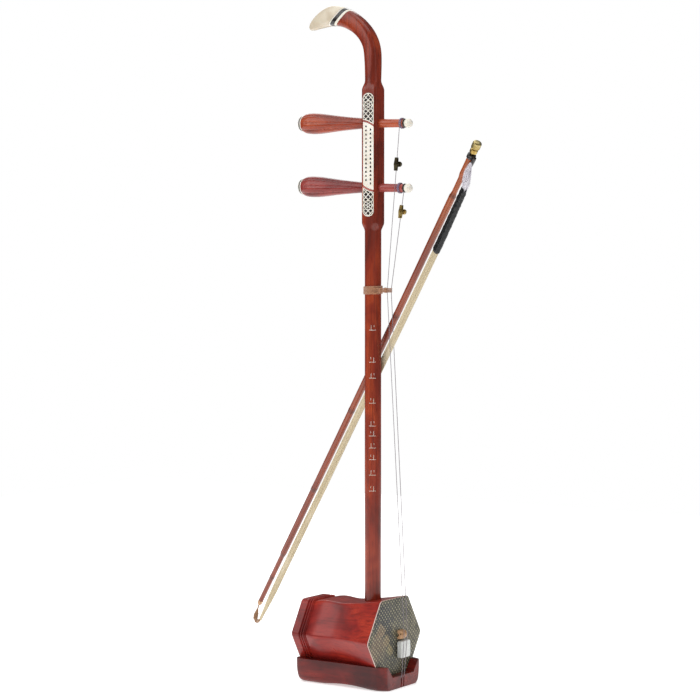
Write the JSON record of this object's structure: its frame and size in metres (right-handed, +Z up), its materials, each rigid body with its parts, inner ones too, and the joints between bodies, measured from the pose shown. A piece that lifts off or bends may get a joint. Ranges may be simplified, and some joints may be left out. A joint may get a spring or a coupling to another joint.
{
  "type": "erhu",
  "caption": "Two-stringed spike fiddle with a hexagonal snakeskin-faced sound box, round neck, rear tuning pegs, cradle base and a bow held between its strings.",
  "frame": {"origin": "centre of the flat underside of the base, on the table", "axes": "+Z up along the neck, -Y the way the snakeskin face looks, +X the outer string's side (the player sits on the -X side)"},
  "size_m": [0.2073, 0.4515, 0.7891],
  "materials": {
    "red_wood": "glossy red-brown varnish",
    "upper_peg_wood": "glossy orange-red varnish",
    "lower_peg_wood": "glossy purple-red varnish",
    "bamboo": "orange-brown bamboo, satin",
    "ivory": "ivory-coloured bone or plastic trim, glossy",
    "black_horn": "black horn or plastic, glossy",
    "brass": "satin brass",
    "dark_metal": "darkened metal, satin",
    "string_steel": "wound steel string, satin",
    "snakeskin": "scaly skin, olive grey, satin",
    "cord": "tan cotton cord, matt",
    "felt": "pale felt or foam, matt",
    "horsehair": "cream bow hair, satin",
    "black_sleeve": "shiny black tape, wrinkled"
  },
  "bodies": {
    "instrument": {"neck": "red_wood", "sound_box_shell": "red_wood", "rear_rim": "red_wood", "rear_sound_window": "red_wood", "base": "red_wood", "bridge": "bamboo", "head_band_white_inner": "ivory", "head_band_white_outer": "ivory", "head_cap": "ivory", "inlay_plaque": "ivory", "inlay_lattice_upper": "ivory", "inlay_lattice_lower": "ivory", "front_edging": "ivory", "head_band_black": "black_horn", "base_screw": "brass", "string_anchor_pin": "brass", "outer_tuner_clip": "brass", "inner_tuner_clip": "dark_metal", "inner_string": "string_steel", "outer_string": "string_steel", "snakeskin_face": "snakeskin", "qianjin_loop": "cord", "damper_pad": "felt"},
    "upper_peg": {"upper_peg": "upper_peg_wood", "upper_peg_butt_ring_white": "ivory", "upper_peg_butt_ring_black": "black_horn", "upper_peg_butt_cap": "ivory", "upper_peg_tip_collar": "black_horn", "upper_peg_tip_ball": "ivory", "upper_peg_string_winding": "string_steel"},
    "lower_peg": {"lower_peg": "lower_peg_wood", "lower_peg_butt_ring_white": "ivory", "lower_peg_butt_ring_black": "black_horn", "lower_peg_butt_cap": "ivory", "lower_peg_tip_collar": "black_horn", "lower_peg_tip_ball": "ivory", "lower_peg_string_winding": "string_steel"},
    "inner_tuner_screw": {"inner_tuner_screw": "dark_metal"},
    "outer_tuner_screw": {"outer_tuner_screw": "brass"},
    "bow": {"bow_stick": "bamboo", "bow_hair": "horsehair", "hair_sleeve": "black_sleeve", "hair_end_bundle": "horsehair", "bow_tip_cap": "bamboo", "hair_tip_knot": "cord"},
    "frog": {"bow_frog": "black_horn"},
    "bow_screw": {"bow_screw": "brass"}
  },
  "joints": [
    {"name": "upper_peg_turn", "type": "hinge", "parent": "instrument", "child": "upper_peg", "pos_m": [0, -0.021, 0.651], "axis": [0, 0.9995, 0.0314], "continuous": true},
    {"name": "lower_peg_turn", "type": "hinge", "parent": "instrument", "child": "lower_peg", "pos_m": [0, -0.021, 0.577], "axis": [0, 0.9995, 0.0314], "continuous": true},
    {"name": "inner_tuner_turn", "type": "hinge", "parent": "instrument", "child": "inner_tuner_screw", "pos_m": [-0.00578, -0.05897, 0.60284], "axis": [0.9999, -0.0007, 0.0143], "continuous": true},
    {"name": "outer_tuner_turn", "type": "hinge", "parent": "instrument", "child": "outer_tuner_screw", "pos_m": [0.00682, -0.05725, 0.54876], "axis": [0.9997, 0.0016, -0.0232], "continuous": true},
    {"name": "bow_stroke", "type": "slide", "parent": "instrument", "child": "bow", "axis": [-0.262, -0.5884, 0.7649], "range_m": [-0.025, 0.35]},
    {"name": "bow_screw_turn", "type": "hinge", "parent": "bow", "child": "bow_screw", "pos_m": [-0.04912, -0.18386, 0.61104], "axis": [-0.262, -0.5884, 0.7649], "range_deg": [0, 1080]},
    {"name": "frog_travel", "type": "slide", "parent": "bow", "child": "frog", "axis": [-0.262, -0.5884, 0.7649], "range_m": [0, 0.002]}
  ],
  "couplings": [
    {"joint": "frog_travel", "follows": "bow_screw_turn", "m_per_rad": 0.000106}
  ]
}
